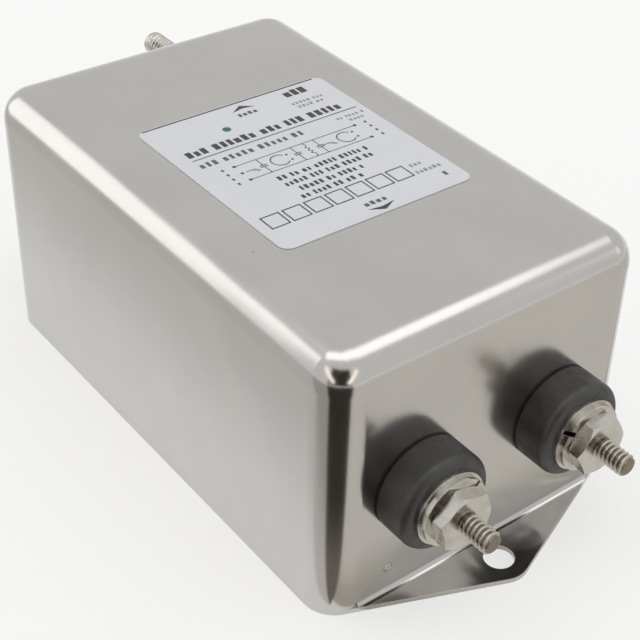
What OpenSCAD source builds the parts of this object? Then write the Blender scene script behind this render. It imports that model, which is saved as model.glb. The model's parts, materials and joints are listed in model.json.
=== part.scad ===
// EMI line filter in a drawn metal can, with stud terminals and two mounting ears.
// Millimetres. Origin at the centre of the underside, X across the can, Y along it, Z up.
// The load terminals are at -Y, the line terminals and the ground stud at +Y.

/* [Can] */
// Width of the can
can_w = 57; // [54:0.5:70]
// Length of the can
can_l = 93; // [90:0.2:120]
// Height of the can
can_h = 45.4; // [44:0.2:60]
// Thickness of the steel sheet
sheet_t = 0.8; // [0.5:0.1:1.2]
// Outer radius of the upright corners
corner_r = 5.4; // [4.8:0.2:8]
// Outer radius of the top edges
top_r = 5.3; // [3:0.1:5.4]

/* [Mounting ears] */
// Distance from the end wall to the centre of an ear's screw hole
ear_reach = 4.97; // [4.5:0.01:12]
// Radius of an ear's rounded tip
ear_tip_r = 4.63; // [4:0.01:6]
// Radius of an ear's screw hole
ear_hole_r = 2.4; // [1.6:0.1:3]
// Inner radius of the bend between end wall and ear
ear_bend_r = 0.9; // [0.4:0.1:1.5]

/* [Terminals] */
// Distance from a long side of the can to the terminals next to it
stud_inset = 15.5; // [12.5:0.1:16.5]
// Height of the terminals above the underside
stud_z = 19.6; // [18:0.1:22]
// Radius of a terminal stud
stud_r = 1.75; // [1.5:0.05:2.2]
// Reach of a terminal stud beyond the end wall
stud_reach = 15.4; // [14.5:0.1:22]
// Chamfer at a stud's tip
stud_chamfer = 0.45; // [0.2:0.05:0.8]
// How much thinner a stud is up to its nut's outer face
shank_relief = 0.2; // [0.18:0.02:0.3]
// Radius of a stud's head inside the can
head_r = 3.2; // [2.8:0.1:4.5]
// Thickness of a stud's head
head_t = 2; // [1.5:0.1:3]
// Radius of an outer bushing
bushing_r = 7.8; // [7:0.1:9]
// Length of an outer bushing
bushing_l = 6.2; // [4:0.1:7]
// Radius of a bushing's rounded front edge
bushing_edge_r = 1.5; // [0.5:0.1:2]
// Chamfer of a bushing's foot at the wall
bushing_foot = 0.35; // [0.2:0.05:0.8]
// Radius of the shoulder that sits in the wall
shoulder_r = 4; // [3:0.1:5]
// Radius of an inner bushing
inner_bushing_r = 6.2; // [5.5:0.1:6.8]
// Thickness of an inner bushing
inner_bushing_t = 2.5; // [1.5:0.1:3]

/* [Terminal hardware] */
// Radius of a terminal's flat washer
washer_r = 5.9; // [4.5:0.1:6.2]
// Thickness of the flat washers
washer_t = 0.6; // [0.4:0.1:1]
// Radius of a terminal's lock washer
lock_r = 5.5; // [4:0.1:5.8]
// Thickness of the lock washers
lock_t = 1; // [0.6:0.1:1.5]
// Width of a lock washer's slit
slit_w = 0.7; // [0.4:0.1:1.2]
// Width across flats of a terminal nut
nut_af = 8.35; // [7:0.05:9.5]
// Thickness of a terminal nut
nut_t = 2.5; // [2:0.1:3.2]

/* [Ground terminal] */
// Distance from the long side of the can to the ground stud
ground_inset = 17.1; // [15:0.1:28]
// Depth of the ground stud below the top of the can
ground_drop = 9.3; // [9.3:0.1:10]
// Radius of the ground stud
ground_r = 2.08; // [1.7:0.01:2.5]
// Radius of the ground stud's washer
ground_washer_r = 4.7; // [4:0.1:4.8]
// Radius of the ground stud's lock washer
ground_lock_r = 3.9; // [3.4:0.1:4.4]
// Width across flats of the ground nut
ground_nut_af = 8.7; // [7.5:0.05:9.4]
// Thickness of the ground nut
ground_nut_t = 3; // [2.2:0.1:3.5]
// Radius of the ground stud's head inside the can
ground_head_r = 3.8; // [3.2:0.1:4.3]
// Thickness of the ground stud's head
ground_head_t = 1.3; // [1:0.1:1.6]

/* [Rating label] */
// Width of the label
label_w = 35.2; // [20:0.1:44]
// Length of the label
label_l = 39.6; // [20:0.1:75]
// Thickness of the label
label_t = 0.12; // [0.08:0.02:0.3]
// Corner radius of the label
label_r = 1.8; // [0.5:0.1:4]
// Offset of the label along the can
label_y = -0.8; // [-5:0.1:5]

/* [Chokes] */
// Outer radius of a choke core
core_r = 16; // [14.5:0.1:17]
// Bore radius of a choke core
core_bore_r = 8; // [7.6:0.1:8.5]
// Width of a choke core along its axis
core_w = 12; // [10:0.1:12.5]
// Edge radius of a choke core
core_edge_r = 1.5; // [1:0.1:2]
// Radius of the winding wire
wire_r = 0.8; // [0.6:0.05:0.85]
// Full turns of each winding
turns = 9; // [5:1:9]
// Thickness of the card between two windings
divider_t = 1; // [0.6:0.1:1.6]
// Width of a choke cradle
cradle_w = 8; // [6:0.1:8.5]
// Height of a choke cradle
cradle_h = 4.5; // [3:0.1:4.8]
// Thickness of a cradle under the core
cradle_floor = 2; // [1.2:0.1:2.4]
// Thickness of a cradle's lips
cradle_lip = 1.2; // [0.8:0.1:1.5]

/* [Capacitors and resistor] */
// Length of a line-to-line capacitor
xcap_l = 31.5; // [29:0.1:34]
// Thickness of a line-to-line capacitor
xcap_t = 11; // [8:0.1:11.5]
// Height of a line-to-line capacitor
xcap_h = 20; // [15:0.1:22]
// Distance between the pins of a line-to-line capacitor
xcap_pitch = 27.5; // [22.5:0.1:28]
// Length of a line-to-ground capacitor
ycap_l = 13; // [10:0.1:15]
// Thickness of a line-to-ground capacitor
ycap_t = 5; // [3.5:0.1:6]
// Height of a line-to-ground capacitor
ycap_h = 11; // [8:0.1:12]
// Distance between the pins of a line-to-ground capacitor
ycap_pitch = 10; // [7.5:0.1:10]
// Distance of the line-to-ground capacitors from the middle line
ycap_x = 9; // [8:0.1:12]
// Radius of the component pins
pin_r = 0.4; // [0.3:0.05:0.5]
// Length of the resistor's body
resistor_l = 9; // [6:0.1:11]
// Radius of the resistor's body
resistor_r = 1.6; // [1.2:0.05:2.2]

/* [Inside fittings] */
// Thickness of the insulating sheet and liner
liner_t = 0.4; // [0.2:0.05:0.8]
// Gap between the insulating liner and each end wall
liner_end_gap = 6.4; // [5.5:0.1:15]
// Thickness of the component board
board_t = 1.6; // [1:0.1:2]
// Gap between the component board and each long side
board_side_gap = 1.7; // [1.4:0.1:4]
// Gap between the component board and each end wall
board_end_gap = 2.4; // [1.4:0.1:3.6]
// Thickness of a solder lug
lug_t = 0.6; // [0.4:0.1:0.9]
// Radius of a solder lug's ring
lug_r = 3.6; // [3.2:0.1:4.5]
// Outer radius of a lug's barrel
barrel_r = 1.4; // [1.2:0.05:1.6]
// Length of a lug's barrel
barrel_l = 4; // [3:0.1:5]
// Radius of the ground wire
ground_wire_r = 0.6; // [0.4:0.05:0.7]

/* [Hidden] */
$fn = 96;

cut = 1;             // how far a cutter runs past the faces it opens
fit_gap = 0.1;       // clearance round whatever passes through a hole
seat_gap = 0.05;     // clearance of a piece that sits in a seat

// Inner faces of the can and the levels of what lies on its floor
wall_in = can_l / 2 - sheet_t;
sheet_z = sheet_t;
board_z = sheet_z + liner_t;
floor_z = board_z + board_t;
roof_z = can_h - sheet_t;
ground_z = can_h - ground_drop;
stud_x = can_w / 2 - stud_inset;
ground_x = can_w / 2 - ground_inset;
board_w = can_w - 2 * (sheet_t + board_side_gap);
board_l = can_l - 2 * (sheet_t + board_end_gap);
liner_l = can_l - 2 * (sheet_t + liner_end_gap);

// Stack of each terminal, measured outward from the outer face of the end wall
washer_out = bushing_l;
lock_out = washer_out + washer_t;
nut_out = lock_out + lock_t;
inner_washer_in = sheet_t + inner_bushing_t;
lug_in = inner_washer_in + washer_t;
head_in = lug_in + lug_t;
barrel_up = inner_bushing_r + 0.8;
barrel_off = lug_t - fit_gap - barrel_r;   // from a lug's inner face to its barrel's axis

// Stack of the ground terminal
ground_lock_out = washer_t;
ground_nut_out = ground_lock_out + lock_t;
ground_reach = stud_reach;
ground_head_in = sheet_t + lug_t;
ground_barrel_side = lug_r + 1.6;

// Chokes
core_z = floor_z + cradle_floor + core_r;
core_mid_r = (core_r + core_bore_r) / 2;
wire_gap = 0.2;      // between wire and core
wire_off = wire_r + wire_gap;
turn_half_r = (core_r - core_bore_r) / 2 + wire_off;
turn_half_w = core_w / 2 + wire_off;
turn_corner = core_edge_r + wire_off;
turn_steps = [for (q = [0:3], a = [0, 45, 90]) [q, 90 * q + a]];
last_step = 9;       // a winding ends three quarters of a turn after its full turns
bore_wire_r = core_mid_r - turn_half_r;
turn_pitch = 2 * asin((wire_r + seat_gap) / bore_wire_r);
winding_half_span = turn_pitch * (turns + last_step / len(turn_steps)) / 2;
choke_half = turn_half_w + wire_r;

// Parts in a row along the can share the free length in even gaps: from the middle of the middle
// capacitor to the load stud heads, and from the line choke to the board's end
row_gap = (can_l / 2 - head_in - head_t - xcap_t / 2 - 2 * choke_half - xcap_t) / 3;
choke_y = xcap_t / 2 + row_gap + choke_half;
xcap_end_y = -choke_y - choke_half - row_gap - xcap_t / 2;
line_gap = (board_l / 2 - choke_y - choke_half - ycap_t - 2 * resistor_r - 2 * ground_wire_r) / 4;
ycap_y = choke_y + choke_half + line_gap + ycap_t / 2;
resistor_y = ycap_y + ycap_t / 2 + line_gap + resistor_r;
ground_wire_y = resistor_y + resistor_r + line_gap + ground_wire_r;

// Face of each hex nut and slit of each lock washer, turned as it was tightened:
// [end, side, nut angle, slit angle], the ends as -1 for load and 1 for line
TERMINALS = [[-1, -1, 43.7, 45], [-1, 1, 57.5, 147], [1, -1, 20, 250], [1, 1, 8, 70]];
ground_nut_turn = 0;
ground_slit_turn = 200;

function unit(v) = v / norm(v);
function plane_turn(p, a) = [p[0] * cos(a) - p[1] * sin(a), p[0] * sin(a) + p[1] * cos(a)];

// ---------- shared shapes ----------

// Rectangle with round corners, centred
module rounded_plan(w, l, r) {
    square([w, l - 2 * r], center = true);
    square([w - 2 * r, l], center = true);
    for (x = [-1, 1], y = [-1, 1])
        translate([x * (w / 2 - r), y * (l / 2 - r)]) circle(r);
}

// Half of a flat-bottomed profile whose upper corner is round
module round_top_half(w, h, r) {
    square([w - r, h]);
    square([w, h - r]);
    translate([w - r, h - r]) circle(r);
}

// Whole width of the same profile
module round_top_profile(w, h, r) {
    for (m = [0, 1]) mirror([m, 0]) round_top_half(w / 2, h, r);
}

// Block with round upright corners and round top edges, as a punch draws it. The edges stay
// sharper than the corners that they run into.
module drawn_block(w, l, h, side_r, top_edge_r) {
    in_x = w / 2 - side_r;
    in_y = l / 2 - side_r;
    edge_r = min(top_edge_r, side_r - fit_gap);
    for (x = [-1, 1], y = [-1, 1])
        translate([x * in_x, y * in_y, 0]) rotate_extrude() intersection() {
            round_top_half(side_r, h, edge_r);
            square([side_r, h]);
        }
    translate([0, in_y, 0]) rotate([90, 0, 0]) linear_extrude(2 * in_y) round_top_profile(w, h, edge_r);
    translate([-in_x, 0, 0]) rotate([90, 0, 90]) linear_extrude(2 * in_x) round_top_profile(l, h, edge_r);
}

// Places a piece on a terminal, with its own Z pointing out of the can and its Y pointing up
module at_terminal(end, side) {
    translate([side * stud_x, end * can_l / 2, stud_z]) rotate([90, 0, end < 0 ? 0 : 180]) children();
}

module at_ground() {
    translate([ground_x, can_l / 2, ground_z]) rotate([90, 0, 180]) children();
}

module disc(r, t, bore) {
    difference() {
        cylinder(r = r, h = t);
        translate([0, 0, -cut]) cylinder(r = bore, h = t + 2 * cut);
    }
}

// Lock washer with a slanted slit
module split_washer(r, t, bore, turn) {
    difference() {
        disc(r, t, bore);
        rotate(turn) translate([r / 2, 0, t / 2]) rotate([20, 0, 0])
            cube([r + cut, slit_w, 3 * t], center = true);
    }
}

// Hex nut with both faces chamfered
module hex_nut(af, t, bore, turn) {
    corner = af / sqrt(3);
    drop = (corner - af / 2) * 0.6;
    difference() {
        intersection() {
            rotate(turn) cylinder(r = corner, h = t, $fn = 6);
            rotate_extrude() polygon([[0, 0], [af / 2, 0], [corner, drop], [corner, t - drop],
                [af / 2, t], [0, t]]);
        }
        translate([0, 0, -cut]) cylinder(r = bore, h = t + 2 * cut);
    }
}

// Stud from the inner face of its flat head to its tip, its free end starting at the nut
module headed_stud(r, reach, head, thick, inside, nut_face) {
    shank = r - shank_relief;
    rotate_extrude() polygon([[0, -inside - thick], [head, -inside - thick], [head, -inside],
        [shank, -inside], [shank, nut_face], [r, nut_face],
        [r, reach - stud_chamfer], [r - stud_chamfer, reach], [0, reach]]);
}

// Ring with a tongue along Y and a barrel across its end that takes a wire
module lug(bore, up, hole) {
    difference() {
        union() {
            cylinder(r = lug_r, h = lug_t);
            translate([-barrel_r, 0, 0]) cube([2 * barrel_r, up + barrel_l / 2, lug_t]);
            translate([0, up, barrel_off]) rotate([-90, 0, 0]) cylinder(r = barrel_r, h = barrel_l);
        }
        translate([0, 0, -cut]) cylinder(r = bore, h = lug_t + 2 * cut);
        translate([0, up - cut, barrel_off]) rotate([-90, 0, 0])
            cylinder(r = hole, h = barrel_l + 2 * cut);
    }
}

// Round wire along a path of points, with a frame carried from point to point
wire_sides = 6;
function heading(path, i) = unit(path[min(i + 1, len(path) - 1)] - path[max(i - 1, 0)]);
function carried(path, i, u) = let (t = heading(path, i), v = unit(u - (u * t) * t))
    i == len(path) - 1 ? [v] : concat([v], carried(path, i + 1, v));
module wire(path, r) {
    sides = carried(path, 0, [1, 0.3, 0.2]);
    rings = len(path);
    points = [for (i = [0:rings - 1], k = [0:wire_sides - 1])
        let (a = 360 * k / wire_sides, v = cross(heading(path, i), sides[i]))
        path[i] + r * (cos(a) * sides[i] + sin(a) * v)];
    walls = [for (i = [0:rings - 2], k = [0:wire_sides - 1]) let (n = (k + 1) % wire_sides)
        [i * wire_sides + k, (i + 1) * wire_sides + k, (i + 1) * wire_sides + n, i * wire_sides + n]];
    first = [for (k = [0:wire_sides - 1]) k];
    last = [for (k = [wire_sides - 1:-1:0]) (rings - 1) * wire_sides + k];
    polyhedron(points, concat(walls, [first, last]), convexity = 10);
}

// ---------- can ----------

// Outline of the can's rim with both ears, each tangent to the corners and to its own tip
module rim_outline() {
    corner = [can_w / 2 - corner_r, can_l / 2 - corner_r];
    tip = [0, can_l / 2 + ear_reach];
    way = tip - corner;
    normal = atan2(way[1], way[0]) - acos((corner_r - ear_tip_r) / norm(way));
    out = [cos(normal), sin(normal)];
    root = corner + corner_r * out;
    end = tip + ear_tip_r * out;
    rounded_plan(can_w, can_l, corner_r);
    for (m = [0, 1]) mirror([0, m]) {
        translate(tip) circle(ear_tip_r);
        polygon([corner, root, end, [-end[0], end[1]], [-root[0], root[1]], [-corner[0], corner[1]]]);
    }
}

// Concave bend between an end wall and its ear
module ear_bend() {
    half = can_w / 2 - corner_r;
    intersection() {
        translate([-half, can_l / 2, sheet_t]) rotate([90, 0, 90]) linear_extrude(2 * half)
            difference() {
                translate([-sheet_t / 2, -sheet_t / 2])
                    square([ear_bend_r + sheet_t / 2, ear_bend_r + sheet_t / 2]);
                translate([ear_bend_r, ear_bend_r]) circle(ear_bend_r);
            }
        linear_extrude(can_h) rim_outline();
    }
}

module case_can() color("gainsboro") difference() {
    union() {
        drawn_block(can_w, can_l, can_h, corner_r, top_r);
        linear_extrude(sheet_t) rim_outline();
        for (m = [0, 1]) mirror([0, m]) ear_bend();
    }
    translate([0, 0, -cut]) drawn_block(can_w - 2 * sheet_t, can_l - 2 * sheet_t,
        roof_z + cut, corner_r - sheet_t, top_r - sheet_t);
    for (y = [-1, 1]) translate([0, y * (can_l / 2 + ear_reach), -cut])
        cylinder(r = ear_hole_r, h = sheet_t + 2 * cut);
    for (t = TERMINALS) at_terminal(t[0], t[1]) translate([0, 0, -sheet_t - cut])
        cylinder(r = shoulder_r + fit_gap, h = sheet_t + 2 * cut);
    at_ground() translate([0, 0, -sheet_t - cut]) cylinder(r = ground_r + seat_gap, h = sheet_t + 2 * cut);
}

module base_plate() color("silver") linear_extrude(sheet_t)
    rounded_plan(can_w - 2 * sheet_t - 2 * fit_gap, can_l - 2 * sheet_t - 2 * fit_gap,
        corner_r - sheet_t - fit_gap);

module rating_label() color("whitesmoke") translate([0, label_y, can_h]) linear_extrude(label_t)
    rounded_plan(label_w, label_l, label_r);

// ---------- terminals ----------

module bushing(end, side) color("#2b2a29") at_terminal(end, side) difference() {
    union() {
        rotate_extrude() difference() {
            union() {
                translate([0, bushing_foot])
                    round_top_half(bushing_r, bushing_l - bushing_foot, bushing_edge_r);
                polygon([[0, 0], [bushing_r - bushing_foot, 0], [bushing_r, bushing_foot],
                    [0, bushing_foot]]);
            }
            translate([-bushing_r, 0]) square([bushing_r, bushing_l]);
        }
        translate([0, 0, -sheet_t]) cylinder(r = shoulder_r, h = sheet_t + bushing_foot);
    }
    translate([0, 0, -sheet_t - cut]) cylinder(r = stud_r + fit_gap, h = bushing_l + sheet_t + 2 * cut);
}

module inner_bushing(end, side) color("#2b2a29") at_terminal(end, side)
    translate([0, 0, -inner_washer_in]) disc(inner_bushing_r, inner_bushing_t, stud_r + fit_gap);

module terminal_stud(end, side) color("silver") at_terminal(end, side)
    headed_stud(stud_r, stud_reach, head_r, head_t, head_in, nut_out + nut_t);

module terminal_washers() color("silver") for (t = TERMINALS) at_terminal(t[0], t[1])
    translate([0, 0, washer_out]) disc(washer_r, washer_t, stud_r + fit_gap);

module terminal_lock_washers() color("silver") for (t = TERMINALS) at_terminal(t[0], t[1])
    translate([0, 0, lock_out]) split_washer(lock_r, lock_t, stud_r + fit_gap, t[3]);

module terminal_nuts() color("silver") for (t = TERMINALS) at_terminal(t[0], t[1])
    translate([0, 0, nut_out]) hex_nut(nut_af, nut_t, stud_r - shank_relief + seat_gap, t[2]);

module inner_washers() color("silver") for (t = TERMINALS) at_terminal(t[0], t[1])
    translate([0, 0, -lug_in]) disc(lug_r, washer_t, stud_r + fit_gap);

module solder_lugs() color("goldenrod") for (t = TERMINALS) at_terminal(t[0], t[1])
    translate([0, 0, -head_in]) lug(stud_r + fit_gap, barrel_up, wire_r + fit_gap);

// ---------- ground terminal ----------

module ground_stud() color("silver") at_ground()
    headed_stud(ground_r, ground_reach, ground_head_r, ground_head_t, ground_head_in,
        ground_nut_out + ground_nut_t);

module ground_washer() color("silver") at_ground() disc(ground_washer_r, washer_t, ground_r + fit_gap);

module ground_lock_washer() color("silver") at_ground() translate([0, 0, ground_lock_out])
    split_washer(ground_lock_r, lock_t, ground_r + fit_gap, ground_slit_turn);

module ground_nut() color("silver") at_ground() translate([0, 0, ground_nut_out])
    hex_nut(ground_nut_af, ground_nut_t, ground_r - shank_relief + seat_gap, ground_nut_turn);

// The ground lug lies sideways, its barrel towards the middle of the can
module ground_lug() color("goldenrod") at_ground() translate([0, 0, -ground_head_in]) rotate(-90)
    lug(ground_r + fit_gap, ground_barrel_side, ground_wire_r + fit_gap);

// The ground wire leaves the lug's barrel, turns down and slants to its hole in the board
barrel_y = wall_in - lug_t + barrel_off;
barrel_end = ground_x - ground_barrel_side - barrel_l;
ground_turn_r = 4 * ground_wire_r;
ground_turn_x = barrel_end - ground_wire_r;
ground_wire_x = ground_turn_x - ground_turn_r;
module ground_wire() color("green") wire(concat(
    [[barrel_end + barrel_l / 2, barrel_y, ground_z]],
    [for (a = [90:22.5:180])
        [ground_turn_x + ground_turn_r * cos(a), barrel_y, ground_z + ground_turn_r * (sin(a) - 1)]],
    [[ground_wire_x, ground_wire_y, floor_z + ground_turn_r], [ground_wire_x, ground_wire_y, board_z]]),
    ground_wire_r);

// ---------- floor of the can ----------

module insulating_sheet() color("tan") translate([0, 0, sheet_z]) linear_extrude(liner_t)
    rounded_plan(board_w, board_l, corner_r);

// Folded sheet over the parts: roof and both long sides
module insulating_liner() color("tan") {
    width = can_w - 2 * sheet_t - 2 * fit_gap;
    height = roof_z - sheet_z - fit_gap;
    fold = top_r - sheet_t - fit_gap;
    translate([0, liner_l / 2, sheet_z]) rotate([90, 0, 0]) linear_extrude(liner_l) difference() {
        round_top_profile(width, height, fold);
        translate([0, -cut]) round_top_profile(width - 2 * liner_t, height - liner_t + cut, fold - liner_t);
    }
}

board_hole_r = pin_r + fit_gap;
module component_board() color("#8a6d3b") difference() {
    translate([0, 0, board_z]) linear_extrude(board_t) rounded_plan(board_w, board_l, corner_r);
    for (y = [0, xcap_end_y], x = [-1, 1]) board_hole(x * xcap_pitch / 2, y, board_hole_r);
    for (c = [-1, 1], x = [-1, 1]) board_hole(c * ycap_x + x * ycap_pitch / 2, ycap_y, board_hole_r);
    for (x = [-1, 1]) board_hole(x * resistor_pin_x, resistor_y, board_hole_r);
    for (x = [-1, 1], y = [-1, 1]) board_hole(x * tail_x, y * tail_y, wire_r + fit_gap);
    board_hole(ground_wire_x, ground_wire_y, ground_wire_r + fit_gap);
}

module board_hole(x, y, r) {
    translate([x, y, board_z - cut]) cylinder(r = r, h = board_t + 2 * cut);
}

// ---------- chokes ----------

module at_choke(end) {
    translate([0, end * choke_y, core_z]) rotate([90, 0, 0]) children();
}

module choke_core(end) color("#3f6b4a") at_choke(end) rotate_extrude()
    translate([core_mid_r, 0]) rounded_plan(core_r - core_bore_r, core_w, core_edge_r);

module choke_cradle(end) color("ivory") difference() {
    width = core_w + 2 * fit_gap + 2 * cradle_lip;
    translate([-cradle_w / 2, end * choke_y - width / 2, floor_z]) cube([cradle_w, width, cradle_h]);
    at_choke(end) cylinder(r = core_r + seat_gap, h = core_w + 2 * fit_gap, center = true);
}

module choke_divider(end) color("tan") at_choke(end)
    cube([divider_t, 2 * sqrt(pow(core_bore_r, 2) - pow(divider_t / 2, 2)) - 2 * seat_gap,
        core_w - 2 * core_edge_r], center = true);

// A point of the winding: its step within a turn, and how far it has come round the core
function turn_point(i) = let (s = turn_steps[i % len(turn_steps)], q = s[0], a = s[1],
    out = q == 0 || q == 3 ? 1 : -1, face = q < 2 ? 1 : -1)
    [core_mid_r + out * (turn_half_r - turn_corner) + turn_corner * cos(a),
        face * (turn_half_w - turn_corner) + turn_corner * sin(a)];
function winding_point(i, end, side) = let (p = turn_point(i),
    a = winding_half_span - turn_pitch * (i - 2) / len(turn_steps))
    [side * p[0] * cos(a), end * (choke_y + p[1]), core_z + p[0] * sin(a)];

// Lead from the lug's barrel to the winding, and tail from the winding down into the board
lead_y = can_l / 2 - head_in + barrel_off;
lead_top = core_z + core_r - 0.8;
lead_x = 8.1;
function winding_lead(end, side) = [
    [side * stud_x, end * lead_y, stud_z + barrel_up + 0.8],
    [side * stud_x, end * lead_y, stud_z + barrel_up + barrel_l + 1.4],
    [side * (stud_x - 0.3), end * (lead_y - 1.4), stud_z + barrel_up + barrel_l + 3.6],
    [side * (stud_x - 1.2), end * (lead_y - 5), lead_top - 0.5],
    [side * (lead_x + 1.3), end * (choke_y + turn_half_w + 3.5), lead_top],
    [side * lead_x, end * (choke_y + turn_half_w + 0.6), lead_top - 0.7]];
tail_x = 8.4;
tail_y = choke_y - turn_half_w - 0.9;
function winding_tail(end, side) = [
    [side * (tail_x - 0.8), end * (tail_y + 0.3), core_z - core_r + 1.3],
    [side * tail_x, end * tail_y, core_z - core_r],
    [side * tail_x, end * tail_y, board_z]];
module winding(end, side) color("#b4632c") {
    final = turns * len(turn_steps) + last_step;
    wire(concat(winding_lead(end, side), [for (i = [2:final]) winding_point(i, end, side)],
        winding_tail(end, side)), wire_r);
}

// ---------- capacitors and resistor ----------

module boxed_capacitor(l, t, h, pitch) {
    translate([0, 0, floor_z]) linear_extrude(h) rounded_plan(l, t, 0.8);
    for (x = [-1, 1]) translate([x * pitch / 2, 0, board_z]) cylinder(r = pin_r, h = board_t + 0.5);
}

module x_capacitor(y) color("#d9b23c") translate([0, y, 0])
    boxed_capacitor(xcap_l, xcap_t, xcap_h, xcap_pitch);

module y_capacitor(side) color("#3a6ea5") translate([side * ycap_x, ycap_y, 0])
    boxed_capacitor(ycap_l, ycap_t, ycap_h, ycap_pitch);

// Axial resistor lying on the board, its leads bent down into it
lead_bend = 1.2;
resistor_pin_x = resistor_l / 2 + 2 + lead_bend;
module bleeder_resistor() color("#c8a878") translate([0, resistor_y, floor_z + resistor_r]) {
    rotate([0, 90, 0]) cylinder(r = resistor_r * 0.85, h = resistor_l - 2, center = true);
    for (m = [0, 1]) mirror([m, 0, 0]) {
        translate([resistor_l / 2 - 2, 0, 0]) rotate([0, 90, 0]) cylinder(r = resistor_r, h = 2);
        translate([resistor_l / 2 - 0.5, 0, 0]) rotate([0, 90, 0]) cylinder(r = pin_r, h = 2.5);
        translate([resistor_l / 2 + 2, 0, -lead_bend]) rotate([90, 0, 0])
            rotate_extrude(angle = 90) translate([lead_bend, 0]) circle(pin_r);
        translate([resistor_pin_x, 0, -resistor_r - board_t])
            cylinder(r = pin_r, h = resistor_r + board_t - lead_bend);
    }
}

case_can();
base_plate();
rating_label();
bushing(-1, -1);  // bushing_load_1
bushing(-1, 1);  // bushing_load_2
bushing(1, -1);  // bushing_line_1
bushing(1, 1);  // bushing_line_2
inner_bushing(-1, -1);  // inner_bushing_load_1
inner_bushing(-1, 1);  // inner_bushing_load_2
inner_bushing(1, -1);  // inner_bushing_line_1
inner_bushing(1, 1);  // inner_bushing_line_2
terminal_stud(-1, -1);  // stud_load_1
terminal_stud(-1, 1);  // stud_load_2
terminal_stud(1, -1);  // stud_line_1
terminal_stud(1, 1);  // stud_line_2
terminal_washers();
terminal_lock_washers();
terminal_nuts();
inner_washers();
solder_lugs();
ground_stud();
ground_washer();
ground_lock_washer();
ground_nut();
ground_lug();
ground_wire();
insulating_sheet();
insulating_liner();
component_board();
choke_core(-1);  // choke_core_1
choke_core(1);  // choke_core_2
choke_cradle(-1);  // choke_cradle_1
choke_cradle(1);  // choke_cradle_2
choke_divider(-1);  // choke_divider_1
choke_divider(1);  // choke_divider_2
winding(-1, -1);  // winding_load_1
winding(-1, 1);  // winding_load_2
winding(1, -1);  // winding_line_1
winding(1, 1);  // winding_line_2
x_capacitor(0);  // x_capacitor_middle
x_capacitor(xcap_end_y);  // x_capacitor_load
y_capacitor(-1);  // y_capacitor_1
y_capacitor(1);  // y_capacitor_2
bleeder_resistor();
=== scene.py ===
"""Looks of a mains line filter in a drawn metal can: finishes, threads, label print and a plain studio."""
import math
import random

import bpy
from mathutils import Matrix, Vector
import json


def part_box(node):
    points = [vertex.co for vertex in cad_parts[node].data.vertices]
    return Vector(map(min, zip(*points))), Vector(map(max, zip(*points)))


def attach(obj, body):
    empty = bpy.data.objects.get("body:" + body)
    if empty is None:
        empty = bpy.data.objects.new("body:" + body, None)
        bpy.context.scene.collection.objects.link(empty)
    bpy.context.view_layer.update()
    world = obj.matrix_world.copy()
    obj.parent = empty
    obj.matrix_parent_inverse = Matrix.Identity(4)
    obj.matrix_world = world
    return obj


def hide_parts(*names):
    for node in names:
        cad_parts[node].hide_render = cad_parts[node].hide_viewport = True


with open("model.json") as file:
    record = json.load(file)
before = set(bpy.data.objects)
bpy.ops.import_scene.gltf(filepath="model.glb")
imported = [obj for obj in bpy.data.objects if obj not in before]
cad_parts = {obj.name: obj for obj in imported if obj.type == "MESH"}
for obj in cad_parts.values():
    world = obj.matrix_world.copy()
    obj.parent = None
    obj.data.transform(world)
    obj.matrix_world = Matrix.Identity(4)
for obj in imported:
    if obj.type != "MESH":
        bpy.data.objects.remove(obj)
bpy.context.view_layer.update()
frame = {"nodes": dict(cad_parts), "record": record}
NODES = frame["nodes"]
MM = 0.001
MICRON = 0.001 * MM
random.seed(20)

# Sizes read from the frame
LABEL_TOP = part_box("rating_label")[1].z
CAN_HALF_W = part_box("case_can")[1].x
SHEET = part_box("base_plate")[1].z
CAN_HALF_L = -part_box("bushing_load_1")[1].y + SHEET     # outer face of the end walls, without the ears
TERMINAL_LOW, TERMINAL_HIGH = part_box("stud_load_2")
TERMINAL_MIDDLE = (TERMINAL_LOW + TERMINAL_HIGH) / 2

# Studs, which the frame holds without threads
STUD_R, STUD_HEAD = 1.75 * MM, 2.0 * MM
GROUND_R, GROUND_HEAD = 2.08 * MM, 1.3 * MM
PITCH = 25.4 / 32 * MM          # 32 threads to the inch on both stud sizes
THREAD_DEPTH = 0.58 * PITCH
TIP_CHAMFER = 0.42 * MM

CAMERA_TURN = -130.8            # azimuth of the camera seen from the object, in degrees from +X


# ---------- node helpers ----------

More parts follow.
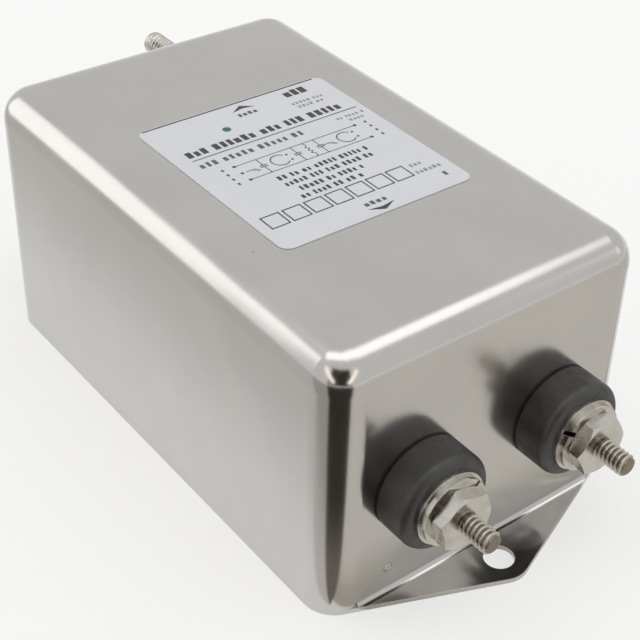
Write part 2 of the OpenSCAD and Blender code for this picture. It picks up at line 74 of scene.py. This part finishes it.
class Nodes:
    """A node tree, with short calls that add and join nodes."""

    def __init__(self, tree, coordinates):
        self.tree = tree
        self.place = self.add("TexCoord").outputs[coordinates]

    def add(self, kind, **settings):
        node = self.tree.nodes.new("ShaderNode" + kind)
        for key, value in settings.items():
            setattr(node, key, value)
        return node

    def join(self, source, target):
        self.tree.links.new(source, target)

    def math(self, operation, *values):
        node = self.add("Math", operation=operation)
        for i, value in enumerate(values):
            if isinstance(value, (int, float)):
                node.inputs[i].default_value = value
            else:
                self.join(value, node.inputs[i])
        return node.outputs[0]

    def axes(self):
        """The three coordinates of the place."""
        node = self.add("SeparateXYZ")
        self.join(self.place, node.inputs[0])
        return node.outputs

    def along(self, way):
        """How far the place lies along a direction."""
        node = self.add("VectorMath", operation="DOT_PRODUCT")
        self.join(self.place, node.inputs[0])
        node.inputs[1].default_value = way
        return node.outputs["Value"]

    def ramp(self, value, low, high, to_low=0.0, to_high=1.0):
        """Smooth step from to_low to to_high while the value goes from low to high."""
        node = self.add("MapRange", interpolation_type="SMOOTHSTEP")
        for i, number in enumerate((low, high, to_low, to_high)):
            node.inputs[i + 1].default_value = number
        self.join(value, node.inputs[0])
        return node.outputs[0]

    def blend(self, factor, first, second):
        """The first colour where the factor is 0, the second where it is 1."""
        node = self.add("Mix", data_type="RGBA")
        self.join(factor, node.inputs["Factor"])
        for slot, color in ((6, first), (7, second)):
            if isinstance(color, tuple):
                node.inputs[slot].default_value = (*color, 1)
            else:
                self.join(color, node.inputs[slot])
        return node.outputs[2]


class Shader(Nodes):
    """A material with its Principled shader."""

    def __init__(self, name, color, roughness, metallic=0.0, **sockets):
        self.material = bpy.data.materials.new(name)
        self.material.use_nodes = True
        super().__init__(self.material.node_tree, "Object")
        self.principled = self.tree.nodes["Principled BSDF"]
        self.set("Base Color", (*color, 1))
        self.set("Roughness", roughness)
        self.set("Metallic", metallic)
        for socket, value in sockets.items():
            self.set(socket.replace("_", " "), value)

    def set(self, socket, value):
        self.principled.inputs[socket].default_value = value

    def feed(self, socket, source):
        self.join(source, self.principled.inputs[socket])

    def stretch(self, scale):
        """Object coordinates scaled by axis, for streaks."""
        node = self.add("Mapping")
        node.inputs["Scale"].default_value = scale
        self.join(self.place, node.inputs["Vector"])
        return node.outputs[0]

    def noise(self, scale, detail=3.0, vector=None, distortion=0.0):
        node = self.add("TexNoise")
        node.inputs["Scale"].default_value = scale
        node.inputs["Detail"].default_value = detail
        node.inputs["Distortion"].default_value = distortion
        self.join(vector or self.place, node.inputs["Vector"])
        return node.outputs["Fac"]

    def spots(self, scale, radius, share):
        """One round spot in a share of the cells, 1 inside it and 0 outside."""
        cell = self.add("TexVoronoi")
        cell.inputs["Scale"].default_value = scale
        self.join(self.place, cell.inputs["Vector"])
        inside = self.ramp(cell.outputs["Distance"], radius * 1.3, radius * 0.7)
        channels = self.add("SeparateColor")
        self.join(cell.outputs["Color"], channels.inputs[0])
        return self.math("MULTIPLY", inside, self.math("LESS_THAN", channels.outputs[0], share))

    def vary_color(self, pattern, first, second, low=0.3, high=0.7):
        """Feeds the base colour with two colours mixed by a pattern."""
        self.feed("Base Color", self.blend(self.ramp(pattern, low, high), first, second))

    def vary_roughness(self, pattern, smooth, rough):
        self.feed("Roughness", self.ramp(pattern, 0.3, 0.7, smooth, rough))

    def bump(self, *layers, edge_radius=0.0):
        """Bump from (height, depth in metres) layers, over edges rounded by edge_radius."""
        normal = None
        if edge_radius:
            bevel = self.add("Bevel", samples=4)
            bevel.inputs["Radius"].default_value = edge_radius
            normal = bevel.outputs[0]
        for height, depth in layers:
            node = self.add("Bump")
            node.inputs["Distance"].default_value = depth
            self.join(height, node.inputs["Height"])
            if normal:
                self.join(normal, node.inputs["Normal"])
            normal = node.outputs[0]
        self.feed("Normal", normal)


def spread(color, share):
    """A colour made darker or lighter by a share."""
    return tuple(c * share for c in color)


# ---------- finishes ----------

def plated_sheet():
    """Bright plated deep-drawn steel, with a soft blur, slow waves, draw streaks and handling marks."""
    nickel, warm_nickel, stain = (0.598, 0.588, 0.573), (0.608, 0.592, 0.570), (0.30, 0.28, 0.25)
    s = Shader("plated_sheet", nickel, 0.2, metallic=1.0)
    clouds = s.noise(70, 4)
    plating = s.blend(s.ramp(clouds, 0.35, 0.65), spread(nickel, 0.975), warm_nickel)
    specks = s.spots(330, 0.09, 0.02)
    s.feed("Base Color", s.blend(s.math("MULTIPLY", specks, 0.55), plating, stain))
    streaks = s.noise(1, 3, s.stretch((900, 900, 30)))
    rougher = s.ramp(streaks, 0.4, 0.8, 0, 0.03)
    s.feed("Roughness", s.math("ADD", s.ramp(clouds, 0.3, 0.7, 0.16, 0.19), rougher))
    on_ear = s.math("GREATER_THAN", s.math("ABSOLUTE", s.axes()["Y"]), CAN_HALF_L + SHEET)
    ear_waves = s.math("MULTIPLY", s.noise(75, 2, distortion=0.6), on_ear)
    s.bump((s.noise(45, 1), 220 * MICRON), (ear_waves, 500 * MICRON), (streaks, 4 * MICRON),
           (s.noise(2600, 2), 1.2 * MICRON), edge_radius=0.12 * MM)
    return s.material


def plated_fastener():
    """Bright plating on stamped and turned hardware, in two tones, with fine tool marks."""
    bright, dull = (0.66, 0.645, 0.61), (0.56, 0.53, 0.475)
    s = Shader("plated_fastener", bright, 0.22, metallic=1.0)
    s.vary_color(s.noise(400, 4), bright, dull, 0.35, 0.75)
    s.vary_roughness(s.noise(900, 3), 0.16, 0.28)
    marks = s.noise(1, 2, s.stretch((400, 2600, 400)))
    s.bump((marks, 4 * MICRON), (s.noise(700, 2), 6 * MICRON), edge_radius=0.09 * MM)
    return s.material


def threaded_plate():
    """The studs' plating: bright on the crests of the terminals' threads, with painted dark brown shade in
    the roots.
    """
    bright, root_shade = (0.62, 0.60, 0.56), (0.25, 0.215, 0.17)
    s = Shader("threaded_plate", bright, 0.28, metallic=1.0)
    off_x = s.math("SUBTRACT", s.math("ABSOLUTE", s.axes()["X"]), TERMINAL_MIDDLE.x)
    off_z = s.math("SUBTRACT", s.axes()["Z"], TERMINAL_MIDDLE.z)
    squares = [s.math("MULTIPLY", off, off) for off in (off_x, off_z)]
    radius = s.math("SQRT", s.math("ADD", *squares))
    # Painted shade: the base colour darkens to brown from the crests down into the thread roots, unevenly by
    # a noise.
    crest = s.ramp(radius, STUD_R - THREAD_DEPTH, STUD_R - 0.2 * THREAD_DEPTH)
    unshaded = s.math("MULTIPLY", crest, s.ramp(s.noise(900, 3), 0.2, 0.6, 0.7, 1.0))
    s.feed("Base Color", s.blend(unshaded, root_shade, bright))
    s.vary_roughness(s.noise(1200, 3), 0.2, 0.34)
    s.bump((s.noise(1500, 2), 6 * MICRON), edge_radius=0.07 * MM)
    return s.material


def moulded_black():
    """Black phenolic, satin, with a few pale flecks of dust and a faint orange peel."""
    black, dark_grey, dust = (0.0185, 0.018, 0.0175), (0.022, 0.021, 0.020), (0.22, 0.21, 0.19)
    s = Shader("moulded_black", black, 0.5, Specular_IOR_Level=0.9)
    tone = s.blend(s.ramp(s.noise(260, 4), 0.35, 0.7), spread(black, 0.85), dark_grey)
    s.feed("Base Color", s.blend(s.spots(900, 0.12, 0.03), tone, dust))
    s.vary_roughness(s.noise(700, 3), 0.42, 0.58)
    s.bump((s.noise(3000, 2), 6 * MICRON), edge_radius=0.1 * MM)
    return s.material


def label_film():
    """Pale bluish printed film with a faint sheen."""
    film, paler = (0.682, 0.694, 0.736), (0.698, 0.708, 0.746)
    s = Shader("label_film", film, 0.42)
    s.vary_color(s.noise(110, 3), film, paler, 0.35, 0.65)
    s.vary_roughness(s.noise(500, 2), 0.38, 0.48)
    s.bump((s.noise(160, 2), 10 * MICRON), (s.noise(2500, 2), 1.5 * MICRON))
    return s.material


def ink(name, color):
    """Printed ink, a little uneven."""
    s = Shader(name, color, 0.5)
    s.vary_color(s.noise(1800, 3), spread(color, 0.8), spread(color, 1.25))
    s.bump((s.noise(3000, 2), 1 * MICRON))
    return s.material


def plain(name, color, roughness, metallic=0.0):
    """A finish for the inner pieces: colour and roughness that vary a little, over a fine grain."""
    s = Shader(name, color, roughness, metallic=metallic)
    grain = s.noise(600, 3)
    s.vary_color(grain, spread(color, 0.85), spread(color, 1.12))
    s.vary_roughness(grain, roughness * 0.85, roughness * 1.15)
    s.bump((grain, 6 * MICRON))
    return s.material


def make_finishes():
    """Finishes by the record's slots, with one more for the threaded studs."""
    return {
        "plated_steel": plated_sheet(),
        "thread": threaded_plate(),
        "plated_fasteners": plated_fastener(),
        "bushing_plastic": moulded_black(),
        "label": label_film(),
        "tinned_brass": plain("tinned_brass", (0.70, 0.67, 0.58), 0.3, metallic=1.0),
        "wire_insulation": plain("wire_insulation", (0.05, 0.30, 0.09), 0.4),
        "insulating_card": plain("insulating_card", (0.46, 0.34, 0.20), 0.8),
        "phenolic_board": plain("phenolic_board", (0.30, 0.17, 0.07), 0.5),
        "core_coating": plain("core_coating", (0.05, 0.17, 0.10), 0.35),
        "cradle_plastic": plain("cradle_plastic", (0.72, 0.68, 0.56), 0.5),
        "enamelled_copper": plain("enamelled_copper", (0.60, 0.24, 0.09), 0.25, metallic=1.0),
        "x_capacitor_case": plain("x_capacitor_case", (0.66, 0.44, 0.07), 0.35),
        "y_capacitor_case": plain("y_capacitor_case", (0.05, 0.14, 0.36), 0.35),
        "resistor_body": plain("resistor_body", (0.55, 0.39, 0.22), 0.4),
    }


def dress_nodes(finishes):
    """Gives each CAD node the finish of its slot in the record."""
    for part in frame["record"]["subparts"]:
        node = NODES[part["node"]]
        node.data.materials.clear()
        node.data.materials.append(finishes[part["material_slot"]])


# ---------- mesh helpers ----------

def place_mesh(name, points, faces, material):
    mesh = bpy.data.meshes.new(name)
    mesh.from_pydata(points, [], faces)
    mesh.update()
    mesh.materials.append(material)
    piece = bpy.data.objects.new(name, mesh)
    bpy.context.scene.collection.objects.link(piece)
    return piece


def add_piece(name, points, faces, material, smooth=False):
    """A new piece of the part, which rides on its only body."""
    piece = place_mesh(name, points, faces, material)
    if smooth:
        piece.data.shade_smooth()
    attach(piece, "root")
    return piece


def lathe_faces(rings, sides):
    """Quads between rings of points, each ring with the same number of sides."""
    return [(r * sides + k, r * sides + (k + 1) % sides,
             (r + 1) * sides + (k + 1) % sides, (r + 1) * sides + k)
            for r in range(rings - 1) for k in range(sides)]


# ---------- threaded studs ----------

THREAD_SIDES = 56
ROWS_PER_PITCH = 16
CHAMFER_ROWS = 6


def thread_cut(turn):
    """Share of its depth that a thread is cut to at a share of a turn: flat crest, soft flanks and root."""
    crest_from, flank, softness = 0.86, 0.72, 0.35
    away = abs((turn % 1.0) - 0.5) * 2          # 0 at the root, 1 at the crest
    cut = min(1.0, max(0.0, (crest_from - away) / flank))
    return cut * cut * (3 - 2 * cut) * softness + cut * (1 - softness)


def threaded_stud(node, radius, head, thread_from, worn):
    """Stud in a CAD stud's place, threaded outward from thread_from and fading over its last part, worn."""
    low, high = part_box(node)
    end = -1 if low.y < 0 else 1
    head_back, tip = sorted((abs(low.y), abs(high.y)))
    head_front, head_r = head_back + head, (high.x - low.x) / 2
    chamfer_from = tip - TIP_CHAMFER
    centre = (low + high) / 2
    points = []

    def ring(y, radius_at):
        for k in range(THREAD_SIDES):
            angle = 2 * math.pi * k / THREAD_SIDES
            r = radius_at(angle)
            points.append((centre.x + r * math.cos(angle), end * y, centre.z + r * math.sin(angle)))

    for y, r in ((head_back, head_r), (head_front, head_r), (head_front, radius - THREAD_DEPTH / 2)):
        ring(y, lambda angle: r)
    step = PITCH / ROWS_PER_PITCH
    stations = [thread_from + i * step for i in range(int((chamfer_from - thread_from) / step))]
    stations += [chamfer_from + TIP_CHAMFER * k / CHAMFER_ROWS for k in range(CHAMFER_ROWS)]
    for y in stations:
        limit = radius - max(0.0, y - chamfer_from)
        depth = THREAD_DEPTH * min(1.0, (tip - y) / worn)
        ring(y, lambda angle: min(
            limit, radius - depth * thread_cut(y / PITCH + end * angle / (2 * math.pi))))
    for share in (0.97, 0.6):
        ring(tip, lambda angle: (radius - TIP_CHAMFER) * share)

    rings = len(points) // THREAD_SIDES
    faces = lathe_faces(rings, THREAD_SIDES)
    points.append((centre.x, end * tip, centre.z))
    last = (rings - 1) * THREAD_SIDES
    faces += [(last + k, last + (k + 1) % THREAD_SIDES, len(points) - 1) for k in range(THREAD_SIDES)]
    faces.append(tuple(reversed(range(THREAD_SIDES))))
    if end > 0:
        faces = [tuple(reversed(f)) for f in faces]
    return points, faces


def add_studs(material):
    """Threaded studs at the four terminals and the ground; the ground stud's tip is worn smooth."""
    terminal_face = abs(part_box("terminal_washers")[0].y)
    ground_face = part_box("ground_washer")[1].y
    studs = [(f"stud_{end}_{side}", STUD_R, STUD_HEAD, terminal_face, 0.01 * MM)
             for end in ("load", "line") for side in (1, 2)]
    studs.append(("ground_stud", GROUND_R, GROUND_HEAD, ground_face, 6 * MM))
    for node, *sizes in studs:
        points, faces = threaded_stud(node, *sizes)
        piece = add_piece("threaded_" + node, points, faces, material, smooth=True)
        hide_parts(node)


def add_pip(material):
    """Small raised ring with a hollow middle, left on the load end's wall above the ear."""
    x, z, sides, sunk = -17.7 * MM, 5.4 * MM, 28, 0.01 * MM
    # Radius and height of each ring, in millimetres
    profile = ((0.85, 0.0), (0.7, 0.03), (0.55, 0.11), (0.42, 0.13), (0.3, 0.09), (0.15, 0.03), (0.04, 0.02))
    turns = [2 * math.pi * k / sides for k in range(sides)]
    points = [(x + r * MM * math.cos(turn), -CAN_HALF_L - height * MM + sunk, z + r * MM * math.sin(turn))
              for r, height in profile for turn in turns]
    faces = lathe_faces(len(profile), sides)
    faces.append(tuple(range((len(profile) - 1) * sides, len(profile) * sides)))
    faces.append(tuple(reversed(range(sides))))
    add_piece("wall_pip", points, faces, material, smooth=True)


# ---------- label print ----------

INK_LIFT = 12 * MICRON


class Print:
    """Flat printed shapes on the label, in millimetres on the can's top: x across it, y along it."""

    def __init__(self):
        self.points, self.faces = [], []

    def area(self, corners):
        first = len(self.points)
        self.points += [(x * MM, y * MM, LABEL_TOP + INK_LIFT) for x, y in corners]
        self.faces.append(tuple(range(first, first + len(corners))))

    def bar(self, x0, x1, y0, y1):
        self.area([(x0, y0), (x1, y0), (x1, y1), (x0, y1)])

    def line(self, start, end, width):
        a, b = Vector(start), Vector(end)
        side = (b - a).orthogonal().normalized() * width / 2
        self.area([a + side, a - side, b - side, b + side])

    def arc(self, centre, radius, width, from_deg, to_deg, steps=28):
        turn = [math.radians(from_deg + (to_deg - from_deg) * i / steps) for i in range(steps + 1)]
        outer, inner = radius + width / 2, radius - width / 2
        for a, b in zip(turn, turn[1:]):
            self.area([(centre[0] + r * math.cos(t), centre[1] + r * math.sin(t))
                       for r, t in ((outer, a), (outer, b), (inner, b), (inner, a))])

    def dot(self, centre, radius, steps=20):
        self.area([(centre[0] + radius * math.cos(2 * math.pi * i / steps),
                    centre[1] + radius * math.sin(2 * math.pi * i / steps)) for i in range(steps)])

    def words(self, x0, x1, y0, height, letter, gap, word=(2, 6)):
        """A row of short bars in groups, where a line of print would be."""
        x, left = x0, random.randint(*word)
        while x + letter <= x1:
            width = letter * random.uniform(0.75, 1.1)
            self.bar(x, min(x + width, x1), y0, y0 + height * random.choice((0.8, 1, 1)))
            x += width + gap
            left -= 1
            if not left:
                x += letter * 0.9
                left = random.randint(*word)

    def boxes(self, x0, x1, y0, y1, count, width=0.24, gap=0.5):
        """A row of empty outlined boxes."""
        pitch = (x1 - x0 + gap) / count
        for i in range(count):
            low, high = x0 + i * pitch, x0 + (i + 1) * pitch - gap
            self.bar(low, high, y0, y0 + width)
            self.bar(low, high, y1 - width, y1)
            for x in (low, high - width):
                self.bar(x, x + width, y0 + width, y1 - width)

    def arrow(self, x, tip_y, base_y, half_w):
        """Solid arrowhead with a notched base."""
        notch = base_y + (tip_y - base_y) * 0.3
        for side in (-half_w, half_w):
            self.area([(x + side, base_y), (x, notch), (x, tip_y)])

    def piece(self, name, material):
        faces = [tuple(reversed(f)) if self.faces_down(f) else f for f in self.faces]
        return add_piece(name, self.points, faces, material)

    def faces_down(self, face):
        a, b, c = (Vector(self.points[i]) for i in face[:3])
        return (b - a).cross(c - b).z < 0


def schematic(layer, x0, x1, y0, y1, width):
    """Two-stage filter circuit: rails with end dots, chokes as arcs, capacitors and a resistor."""
    middle = (y0 + y1) / 2
    for y in (y0, y1):
        layer.line((x0, y), (x1, y), width)
        for x in (x0, x1):
            layer.dot((x, y), 0.32)
    layer.dot((x0, middle), 0.3)
    for x in (x0 + 6.9, x0 + 19.6):
        choke_r, lead = 1.5, 0.8
        layer.arc((x, middle), choke_r, width * 1.3, 40, 320)
        for y in (middle - lead, middle + lead):
            layer.dot((x + choke_r + 0.25, y), 0.24)
    plate_gap, plate = 0.22, 0.65
    for x in (x0 + 3.9, x0 + 10.3, x0 + 14.6):
        for y, edge in ((y0, middle - plate_gap), (y1, middle + plate_gap)):
            layer.line((x, y), (x, edge), width)
            layer.line((x - plate, edge), (x + plate, edge), width * 1.4)
    resistor_x, lead, bends = x0 + 12.5, 0.9, 6
    zigzag = [(resistor_x + 0.3 * (-1) ** i, y0 + lead + (y1 - y0 - 2 * lead) * i / bends)
              for i in range(bends + 1)]
    for start, end in zip([(resistor_x, y0)] + zigzag, zigzag + [(resistor_x, y1)]):
        layer.line(start, end, width)
    for x in (x0 + 1.6, x0 + 16.1):
        for i in range(3):
            y = middle - 0.1 - 0.3 * i
            layer.line((x + 0.35 * i, y), (x + 0.9 + 0.2 * i, y), width)
        layer.line((x - 0.9, middle), (x + 0.3, middle), width)


def print_label():
    """Generic print: rules, arrows, a circuit, rows of bars for words and boxes where a name would be."""
    dark, grey, faint, green = (Print() for _ in range(4))
    dark.bar(-16.6, 16.2, 18.52, 18.84)
    grey.bar(-14.9, 16.4, 6.82, 7.05)
    grey.bar(14.4, 15.0, -17.7, -16.6)
    dark.arrow(0.8, 17.6, 16.2, 2.15)
    dark.arrow(1.0, -20.0, -18.7, 2.5)
    green.dot((-5.1, 12.3), 0.72)
    schematic(grey, -10.6, 12.4, -2.25, 2.15, 0.17)
    for x in (-12.9, 14.3):
        for y in (1.85, 0.35, -1.15, -2.65):
            grey.bar(x, x + 0.42, y, y + 0.62)
    dark.boxes(-15.8, 10.5, -15.15, -11.75, 7)
    one_word, long_words, short_words, any_words = (9, 9), (3, 6), (2, 5), (2, 6)
    # Layer, x from and to, y, height, width and gap of the letters, letters in a word
    for layer, *row in (
            (grey, -1.1, 2.7, 14.4, 0.95, 0.62, 0.32, one_word),
            (dark, 8.9, 13.7, 15.6, 1.9, 1.35, 0.35, one_word),
            (faint, 8.2, 14.3, 12.9, 0.75, 0.5, 0.3, any_words),
            (faint, 8.6, 13.9, 11.6, 0.75, 0.5, 0.3, any_words),
            (dark, -14.8, 14.7, 7.85, 1.75, 0.95, 0.42, long_words),
            (grey, -14.8, 4.6, 4.3, 1.35, 0.72, 0.52, long_words),
            (faint, 11.2, 16.6, 4.9, 0.7, 0.45, 0.28, any_words),
            (faint, 12.8, 15.9, 3.6, 0.7, 0.45, 0.28, any_words),
            (dark, -7.2, 10.2, -4.95, 1.15, 0.55, 0.36, short_words),
            (dark, -7.2, 9.2, -6.9, 1.15, 0.55, 0.36, short_words),
            (dark, -6.0, 6.5, -8.95, 1.15, 0.55, 0.36, short_words),
            (dark, -7.2, 4.5, -10.9, 1.15, 0.55, 0.36, short_words),
            (faint, 11.5, 14.4, -13.0, 0.85, 0.55, 0.3, one_word),
            (faint, 11.1, 16.0, -15.1, 0.85, 0.55, 0.3, one_word),
            (grey, -1.1, 3.3, -18.0, 1.0, 0.72, 0.36, one_word)):
        layer.words(*row)
    for name, layer, color in (
            ("dark", dark, (0.045, 0.047, 0.055)), ("grey", grey, (0.10, 0.105, 0.12)),
            ("faint", faint, (0.28, 0.29, 0.33)), ("green", green, (0.03, 0.16, 0.11))):
        layer.piece("print_" + name, ink("ink_" + name, color))


# ---------- studio ----------

def direction(azimuth, elevation):
    """Unit vector from angles in degrees."""
    a, e = math.radians(azimuth), math.radians(elevation)
    return Vector((math.cos(a) * math.cos(e), math.sin(a) * math.cos(e), math.sin(e)))


class Sky(Nodes):
    """World light as soft-edged patches on the sky, each given by directions in degrees."""

    def __init__(self, color):
        world = bpy.data.worlds.new("studio")
        bpy.context.scene.world = world
        world.use_nodes = True
        super().__init__(world.node_tree, "Generated")
        x, y, self.height = self.axes()
        self.turn = self.math("ARCTAN2", y, x)
        self.color = color

    def above(self, low, high):
        """1 above an elevation, 0 below another."""
        return self.ramp(self.height, math.sin(math.radians(low)), math.sin(math.radians(high)))

    def below(self, low, high):
        """1 below an elevation, 0 above another."""
        return self.math("SUBTRACT", 1.0, self.above(low, high))

    def near(self, azimuth, half, edge):
        """1 within half of an azimuth, falling to 0 over edge."""
        turned = self.math("SUBTRACT", self.turn, math.radians(azimuth))
        away = self.math("ABSOLUTE", self.math("WRAP", turned, math.pi, -math.pi))
        return self.ramp(away, math.radians(half + edge), math.radians(half))

    def streak(self, start, end, half):
        """1 in a strip of the sky between two directions, half wide in degrees on either side."""
        middle = (start + end).normalized()
        across = self.math("ABSOLUTE", self.along(start.cross(end).normalized()))
        width = math.sin(math.radians(half))
        ends = middle.dot(start)
        return self.both(self.ramp(across, width * 1.4, width * 0.6),
                         self.ramp(self.along(middle), ends - 0.04, ends + 0.01))

    def both(self, *masks):
        """1 only where each of the masks is 1."""
        result = masks[0]
        for mask in masks[1:]:
            result = self.math("MULTIPLY", result, mask)
        return result

    def paint(self, mask, color):
        self.color = self.blend(mask, self.color, color)

    def finish(self):
        background = self.tree.nodes["Background"]
        self.join(self.color, background.inputs["Color"])
        background.inputs["Strength"].default_value = 1.0


def make_sky():
    """Grey room: a bent strip of light above, a tall one behind left, a dim one right, dark by the camera."""
    strip, tall, dim = (1.75, 1.75, 1.73), (1.6, 1.6, 1.57), (1.15, 1.13, 1.09)
    lobe, dark = (1.75, 1.62, 1.45), (0.028, 0.023, 0.018)
    sky = Sky((0.745, 0.742, 0.735))
    zenith = direction(CAMERA_TURN, 82)
    sky.paint(sky.streak(zenith, direction(-14, 50), 13), strip)
    sky.paint(sky.streak(zenith, direction(132, 50), 11), strip)
    sky.paint(sky.both(sky.near(123, 12, 6), sky.above(-6, 2), sky.below(33, 38)), tall)
    sky.paint(sky.both(sky.near(-35, 6, 3), sky.above(12, 18), sky.below(28, 33)), dim)
    sky.paint(sky.both(sky.near(CAMERA_TURN - 4, 30, 4), sky.below(43, 50)), dark)
    sky.paint(sky.streak(direction(-152, 8), direction(170, 36), 5), lobe)
    sky.paint(sky.streak(direction(-110, 8), direction(-78, 36), 5), lobe)
    sky.finish()


def lighten(shader, share):
    """Mixes a share of plain white into what the camera, mirrors and glass see of a surface."""
    path = shader.add("LightPath")
    seen = path.outputs["Is Camera Ray"]
    for ray in ("Is Glossy Ray", "Is Transmission Ray"):
        seen = shader.math("MAXIMUM", seen, path.outputs[ray])
    white = shader.add("Emission")
    mix = shader.add("MixShader")
    shader.join(shader.math("MULTIPLY", seen, share), mix.inputs[0])
    shader.join(shader.principled.outputs[0], mix.inputs[1])
    shader.join(white.outputs[0], mix.inputs[2])
    output = next(n for n in shader.tree.nodes if n.type == "OUTPUT_MATERIAL")
    shader.join(mix.outputs[0], output.inputs["Surface"])


def lay_flat(name, corners, material, height=0.0):
    """Flat sheet of the studio at a height."""
    points = [(x, y, height) for x, y in corners]
    sheet = place_mesh(name, points, [tuple(range(len(points)))], material)
    return sheet


def make_floor():
    size = 6.0
    s = Shader("floor_paint", (0.93, 0.93, 0.93), 0.9, Specular_IOR_Level=0.0)
    s.feed("Base Color", s.blend(s.noise(3, 2), (0.925, 0.925, 0.925), (0.94, 0.94, 0.94)))
    lighten(s, 0.6)
    lay_flat("floor", [(-size, -size), (size, -size), (size, size), (-size, size)], s.material)


def glow_paint(name, near_color, far_color, way, near, far):
    """Glowing paint that changes colour with the distance along a level direction, from near to far."""
    s = Shader(name, (0, 0, 0), 1.0, Specular_IOR_Level=0.0, Emission_Strength=1.0)
    s.feed("Emission Color", s.blend(s.ramp(s.along(way), near, far), near_color, far_color))
    return s.material


def lay_card(name, corners, material, height):
    """Flat card on the floor that only reflections see."""
    card = lay_flat(name, corners, material, height)
    for ray in ("camera", "diffuse", "transmission", "volume_scatter", "shadow"):
        setattr(card, "visible_" + ray, False)


def make_cards():
    """Painted reflections: glowing cards that only the two near walls mirror, with painted shade of the floor
    by the end wall, and a painted dark reflection towards the camera in their corner.
    """
    wide, long_way = 0.6, 0.8
    left, front = -CAN_HALF_W - MM, -CAN_HALF_L - MM
    # Painted reflection: a glowing card that the side wall mirrors, lighter near the wall and darker farther
    # out.
    side = glow_paint("side_reflection_paint", (0.86, 0.86, 0.855), (0.64, 0.625, 0.60), (-1, 0, 0),
                      CAN_HALF_W + 6 * MM, CAN_HALF_W + 31 * MM)
    lay_card("side_card", [(left, front), (left, wide), (-wide, wide), (-wide, -wide)], side, 0.05 * MM)
    # Painted reflection with painted shadow: a glowing card that the end wall mirrors, dark near the wall
    # where the can's shade on the floor would fall, lighter farther out.
    end = glow_paint("end_reflection_paint", (0.47, 0.44, 0.39), (0.70, 0.68, 0.635), (0, -1, 0),
                     CAN_HALF_L + 2 * MM, CAN_HALF_L + 11 * MM)
    lay_card("end_card", [(left, front), (-wide, -wide), (wide, -wide), (wide, front)], end, 0.05 * MM)
    # Painted dark reflection: two glowing fans, mid grey and near black, that the corner between the two
    # walls mirrors as a dark band.
    towards_camera = direction(CAMERA_TURN, 0)
    tip = Vector((-CAN_HALF_W + 0.3 * MM, -CAN_HALF_L + 0.3 * MM))
    start = towards_camera.dot(tip.to_3d())
    mid, dark = ((0.62, 0.61, 0.58), (0.42, 0.405, 0.38)), ((0.17, 0.15, 0.125), (0.028, 0.023, 0.018))
    for name, colors, azimuths, height in (
            ("mid", mid, (150, -178, -160), 0.1), ("dark", dark, (-166, CAMERA_TURN, -98), 0.15)):
        paint = glow_paint(name + "_reflection_paint", *colors, towards_camera, start + 4 * MM, start + 22 * MM)
        fan = [tip + direction(azimuth, 0).xy * long_way for azimuth in azimuths]
        lay_card(name + "_card", [tip] + fan, paint, height * MM)


def make_camera():
    """The photo's camera, from a fit to the can's edges."""
    place = (-0.115363, -0.154772, 0.157514)
    azimuth, elevation, roll = (math.radians(a) for a in (-40.5785, 35.8835, 3.2437))
    back = Vector((math.sin(azimuth) * math.cos(elevation), -math.cos(azimuth) * math.cos(elevation),
                   math.sin(elevation)))
    right = Vector((math.cos(azimuth), math.sin(azimuth), 0))
    up = back.cross(right)
    turned_right = right * math.cos(roll) + up * math.sin(roll)
    turned_up = up * math.cos(roll) - right * math.sin(roll)
    data = bpy.data.cameras.new("camera")
    data.lens, data.sensor_width = 81.36, 36.0
    data.shift_x, data.shift_y = -0.0882, -0.0279
    data.clip_start, data.clip_end = 0.01, 50
    camera = bpy.data.objects.new("camera", data)
    bpy.context.scene.collection.objects.link(camera)
    turn = Matrix((turned_right, turned_up, back)).transposed().to_4x4()
    camera.matrix_world = Matrix.Translation(place) @ turn
    bpy.context.scene.camera = camera


def main():
    finishes = make_finishes()
    dress_nodes(finishes)
    add_studs(finishes["thread"])
    add_pip(finishes["plated_steel"])
    print_label()
    make_sky()
    make_floor()
    make_cards()
    make_camera()
    bpy.context.scene.view_settings.view_transform = "Standard"


main()
